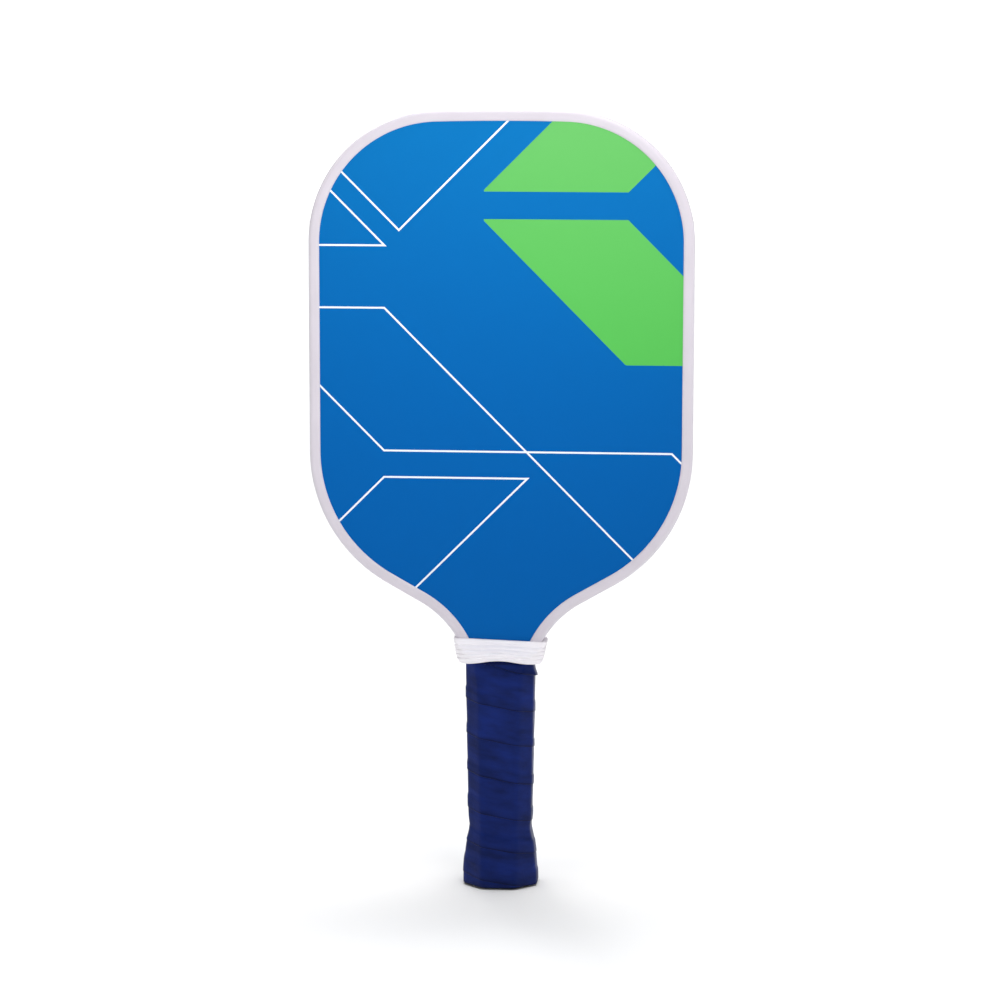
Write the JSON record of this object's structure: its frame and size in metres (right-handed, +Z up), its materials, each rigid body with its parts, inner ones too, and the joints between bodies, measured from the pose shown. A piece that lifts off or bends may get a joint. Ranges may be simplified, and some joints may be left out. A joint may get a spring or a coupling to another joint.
{
  "type": "pickleball paddle",
  "caption": "Upright pickleball paddle: rounded blue-and-green face on a honeycomb panel, white edge guard, ribbed rubber collar and a wound navy grip on a flared octagonal handle.",
  "frame": {"origin": "on the flat bottom of the butt cap, in the middle of the paddle's width and depth", "axes": "+Z up the paddle from butt to head, +X across the face, -Y out of the front face"},
  "size_m": [0.1972, 0.035, 0.402],
  "materials": {
    "core": "extruded polypropylene honeycomb, translucent grey-white",
    "adhesive": "hot-melt adhesive film and tape, dull",
    "face_sheet": "woven fibreglass laminate, fine texture",
    "printed_film": "matt printed polymer film, blue ground with green panels and white lines",
    "edge_guard": "moulded soft thermoplastic, satin off-white",
    "foam_tape": "thin closed-cell foam tape",
    "pallet": "moulded rigid foam, tan",
    "cap": "injection-moulded black plastic, fine spark texture",
    "plug": "plain moulded disc, satin",
    "staple": "galvanised staple wire",
    "grip": "polyurethane grip strip, satin synthetic leather, navy",
    "finishing_tape": "thin vinyl tape",
    "collar": "moulded white rubber with ribs, satin"
  },
  "bodies": {
    "root": {"honeycomb_core": "core", "front_bond_film": "adhesive", "back_bond_film": "adhesive", "front_face_sheet": "face_sheet", "back_face_sheet": "face_sheet", "front_printed_film": "printed_film", "back_printed_film": "printed_film", "edge_guard": "edge_guard", "edge_guard_tape": "foam_tape", "front_pallet": "pallet", "back_pallet": "pallet", "front_pallet_tape": "adhesive", "back_pallet_tape": "adhesive", "butt_cap": "cap", "butt_cap_plug": "plug", "butt_cap_staples": "staple", "grip_wrap": "grip", "grip_finishing_tape": "finishing_tape", "grip_collar": "collar"}
  },
  "joints": []
}
